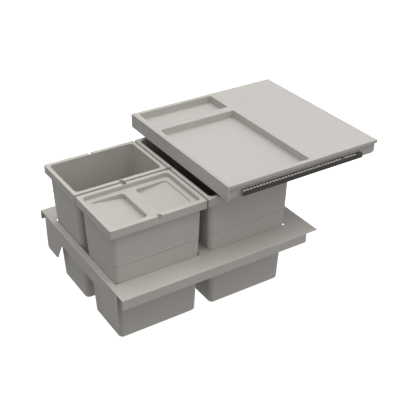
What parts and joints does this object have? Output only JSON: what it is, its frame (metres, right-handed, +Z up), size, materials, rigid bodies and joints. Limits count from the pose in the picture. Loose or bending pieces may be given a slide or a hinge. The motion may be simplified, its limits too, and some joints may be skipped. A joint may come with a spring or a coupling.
{
  "type": "pull-out waste bin set",
  "caption": "Pull-out kitchen waste set: tapered bins in a folded steel holder frame, one with a drop-in lid, under a cover tray that runs on roller tracks on the cabinet sides.",
  "frame": {"origin": "middle of the set's footprint, at the level of the bins' bases", "axes": "+X to the user's right across the cabinet, +Y into the cabinet, +Z up"},
  "size_m": [0.418, 0.6542, 0.3373],
  "materials": {
    "bin_plastic": "moulded polypropylene, fine matt grain, light warm grey",
    "lid_plastic": "moulded polypropylene, fine matt grain, light warm grey",
    "cover_plastic": "moulded polystyrene, matt, light warm grey",
    "frame_coat": "powder-coated folded steel sheet, matt light warm grey",
    "rail_steel": "black-coated rolled steel",
    "strip_plastic": "moulded acetal, mid grey",
    "roller_plastic": "turned acetal rollers, pale grey",
    "buffer_rubber": "moulded black rubber",
    "runner_zinc": "zinc-plated rolled steel",
    "screw_zinc": "zinc-plated steel"
  },
  "bodies": {
    "cabinet_rails": {"left_cabinet_rail": "rail_steel", "left_roller_strip": "strip_plastic", "left_track_rollers": "roller_plastic", "left_end_buffer": "buffer_rubber", "right_cabinet_rail": "rail_steel", "right_roller_strip": "strip_plastic", "right_track_rollers": "roller_plastic", "right_end_buffer": "buffer_rubber"},
    "cover": {"cover_main_tray": "cover_plastic", "cover_side_tray": "cover_plastic", "cover_front_panel": "cover_plastic", "cover_joint_screws": "screw_zinc", "front_panel_screws": "screw_zinc", "left_tray_runner": "runner_zinc", "left_runner_screws": "screw_zinc", "right_tray_runner": "runner_zinc", "right_runner_screws": "screw_zinc"},
    "bin_frame": {"holder_frame": "frame_coat", "large_bin": "bin_plastic"},
    "left_small_bin": {"small_bin_left": "bin_plastic"},
    "right_small_bin": {"small_bin_right": "bin_plastic"},
    "bin_lid": {"small_bin_lid": "lid_plastic"}
  },
  "joints": [
    {"name": "cover_slide", "type": "slide", "parent": "cabinet_rails", "child": "cover", "axis": [0, -1, 0], "range_m": [0, 0.21]},
    {"name": "drawer_travel", "type": "slide", "parent": "cabinet_rails", "child": "bin_frame", "axis": [0, -1, 0], "range_m": [-0.248, 0.252]},
    {"name": "left_bin_lift", "type": "slide", "parent": "bin_frame", "child": "left_small_bin", "axis": [0, 0, 1], "range_m": [0, 0.3]},
    {"name": "right_bin_lift", "type": "slide", "parent": "bin_frame", "child": "right_small_bin", "axis": [0, 0, 1], "range_m": [0, 0.3]},
    {"name": "lid_lift", "type": "slide", "parent": "right_small_bin", "child": "bin_lid", "axis": [0, 0, 1], "range_m": [0, 0.15]}
  ]
}
